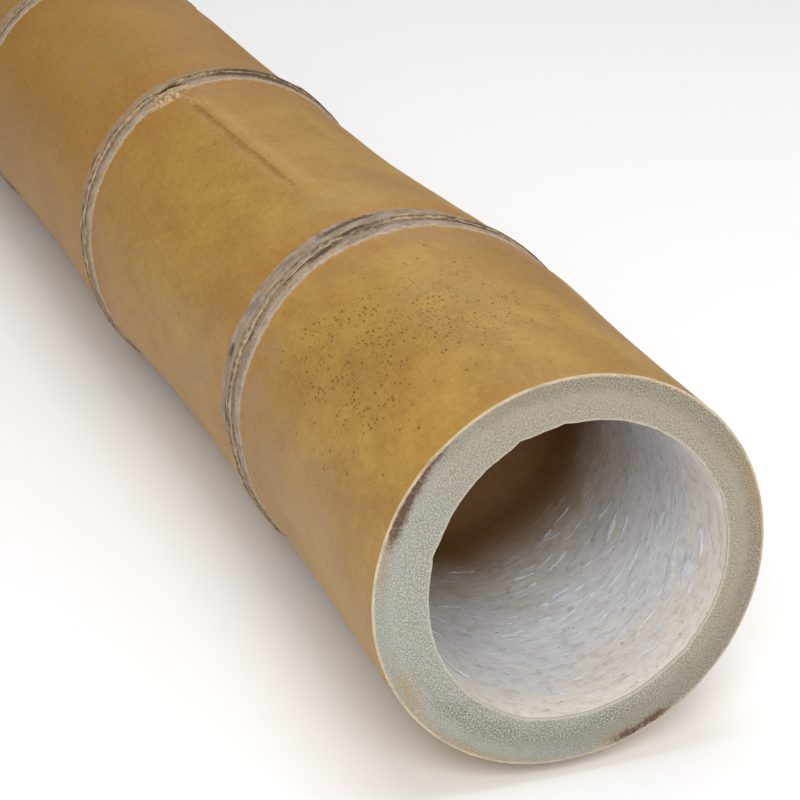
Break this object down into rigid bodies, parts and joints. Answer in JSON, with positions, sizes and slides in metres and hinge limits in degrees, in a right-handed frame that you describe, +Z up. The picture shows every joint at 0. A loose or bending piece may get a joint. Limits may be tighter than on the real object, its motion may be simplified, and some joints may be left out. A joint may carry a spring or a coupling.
{
  "type": "bamboo pole",
  "caption": "Sawn length of a thick, hollow bamboo culm with pale raised node rings, lying down, for building, plant supports or decoration.",
  "frame": {"origin": "centre of the underside of the box around the pole, level with the flats that it lies on", "axes": "+X along the pole towards its upper saw cut, +Z up, +Y to the left of someone looking along +X"},
  "size_m": [1, 0.1448, 0.1381],
  "materials": {
    "bamboo": "golden brown waxy rind with dark specks, pale grey-white bands at the nodes, grey-beige sawn ends and a papery pale grey lining"
  },
  "bodies": {
    "root": {"bamboo_culm": "bamboo"}
  },
  "joints": []
}
